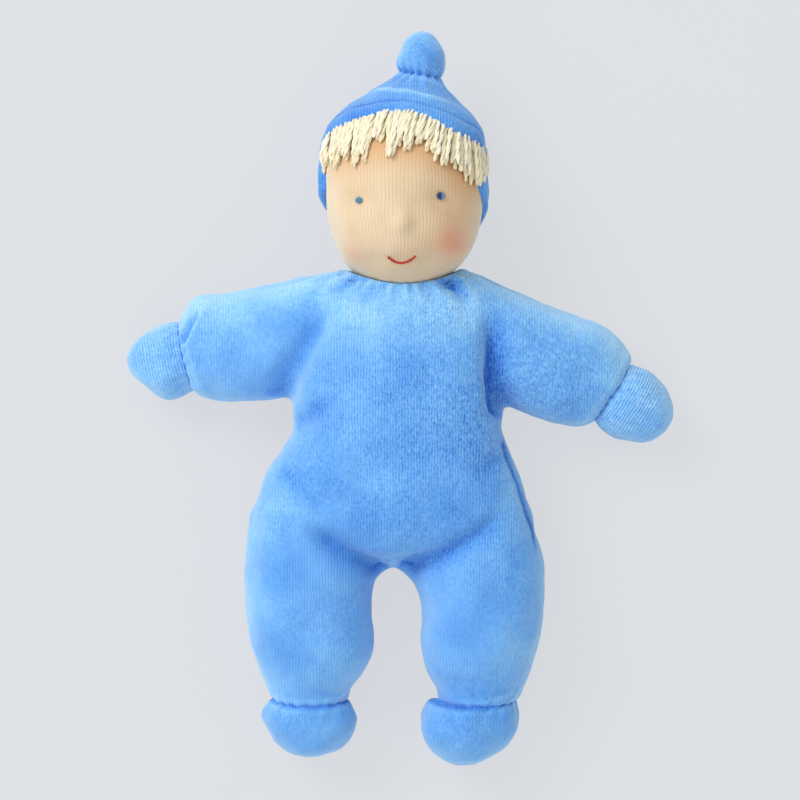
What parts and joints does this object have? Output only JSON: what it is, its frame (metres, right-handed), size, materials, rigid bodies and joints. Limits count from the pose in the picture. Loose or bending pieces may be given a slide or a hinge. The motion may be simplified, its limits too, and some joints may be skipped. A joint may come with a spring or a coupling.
{
  "type": "waldorf doll",
  "caption": "Soft stuffed doll in a hooded velour romper, with mitten hands, round tied feet, a plain embroidered face, a wool fringe and a knob on its cap; head and limbs can be posed.",
  "frame": {"origin": "Middle of the doll's bounding box in X and Y, on the surface that its back lies on.", "axes": "+Y runs along the doll's height from the feet to the head, +Z points out of its belly, and +X points towards its own left hand. The doll lies on its back on the plane z = 0."},
  "size_m": [0.225, 0.3, 0.0695],
  "materials": {
    "velour": "soft ribbed cotton velour, mid blue with a mottled nap",
    "tricot": "fine ribbed cotton tricot, light beige with blushed cheeks",
    "wool": "carded wool filling, off-white",
    "yarn": "twisted wool yarn, cream",
    "blue_thread": "strong sewing thread, blue",
    "red_thread": "embroidery thread, red",
    "eye_thread": "embroidery thread, blue"
  },
  "bodies": {
    "torso": {"torso_front_panel": "velour", "torso_back_panel": "velour", "torso_filling": "wool", "neckline_thread": "blue_thread"},
    "neck": {"neck_stalk": "wool", "neck_tie": "blue_thread"},
    "head": {"head_core": "wool", "head_skin": "tricot", "nose_ball": "wool", "right_eye": "eye_thread", "left_eye": "eye_thread", "mouth": "red_thread", "hair_fringe": "yarn", "cap": "velour"},
    "knob": {"cap_knob_cover": "velour", "cap_knob_filling": "wool", "cap_knob_gather": "blue_thread"},
    "right_arm": {"right_sleeve": "velour", "right_arm_filling": "wool"},
    "right_hand": {"right_hand_cover": "velour", "right_hand_filling": "wool", "right_hand_gather": "blue_thread"},
    "left_arm": {"left_sleeve": "velour", "left_arm_filling": "wool"},
    "left_hand": {"left_hand_cover": "velour", "left_hand_filling": "wool", "left_hand_gather": "blue_thread"},
    "right_leg": {"right_leg_cover": "velour", "right_leg_filling": "wool"},
    "right_foot": {"right_foot_cover": "velour", "right_foot_filling": "wool", "right_foot_gather": "blue_thread"},
    "left_leg": {"left_leg_cover": "velour", "left_leg_filling": "wool"},
    "left_foot": {"left_foot_cover": "velour", "left_foot_filling": "wool", "left_foot_gather": "blue_thread"}
  },
  "joints": [
    {"name": "neck_turn", "type": "hinge", "parent": "torso", "child": "neck", "pos_m": [0.00073, 0.05004, 0.032], "axis": [0, 1, 0], "range_deg": [-30, 30]},
    {"name": "head_nod", "type": "hinge", "parent": "neck", "child": "head", "pos_m": [0.00073, 0.05004, 0.032], "axis": [1, 0, 0], "range_deg": [-12, 15]},
    {"name": "knob_tilt", "type": "hinge", "parent": "head", "child": "knob", "pos_m": [0.00713, 0.13204, 0.0355], "axis": [0, 0, 1], "range_deg": [-20, 20]},
    {"name": "right_shoulder", "type": "hinge", "parent": "torso", "child": "right_arm", "pos_m": [-0.05207, 0.02324, 0.021], "axis": [-0.1544, 0.988, 0], "range_deg": [-15, 55]},
    {"name": "left_shoulder", "type": "hinge", "parent": "torso", "child": "left_arm", "pos_m": [0.05093, 0.01944, 0.021], "axis": [-0.4084, -0.9128, 0], "range_deg": [-15, 55]},
    {"name": "right_wrist", "type": "hinge", "parent": "right_arm", "child": "right_hand", "pos_m": [-0.08857, 0.01754, 0.0155], "axis": [0, 0, 1], "range_deg": [-20, 20]},
    {"name": "left_wrist", "type": "hinge", "parent": "left_arm", "child": "left_hand", "pos_m": [0.08893, 0.00244, 0.0155], "axis": [0, 0, 1], "range_deg": [-20, 20]},
    {"name": "right_hip", "type": "hinge", "parent": "torso", "child": "right_leg", "pos_m": [-0.03737, -0.07196, 0.0235], "axis": [-1, 0, 0], "range_deg": [-10, 75]},
    {"name": "left_hip", "type": "hinge", "parent": "torso", "child": "left_leg", "pos_m": [0.03313, -0.07196, 0.0235], "axis": [-1, 0, 0], "range_deg": [-10, 75]},
    {"name": "right_ankle", "type": "hinge", "parent": "right_leg", "child": "right_foot", "pos_m": [-0.03707, -0.12296, 0.0185], "axis": [-1, 0, 0], "range_deg": [-20, 20]},
    {"name": "left_ankle", "type": "hinge", "parent": "left_leg", "child": "left_foot", "pos_m": [0.03233, -0.12296, 0.0185], "axis": [-1, 0, 0], "range_deg": [-20, 20]}
  ]
}
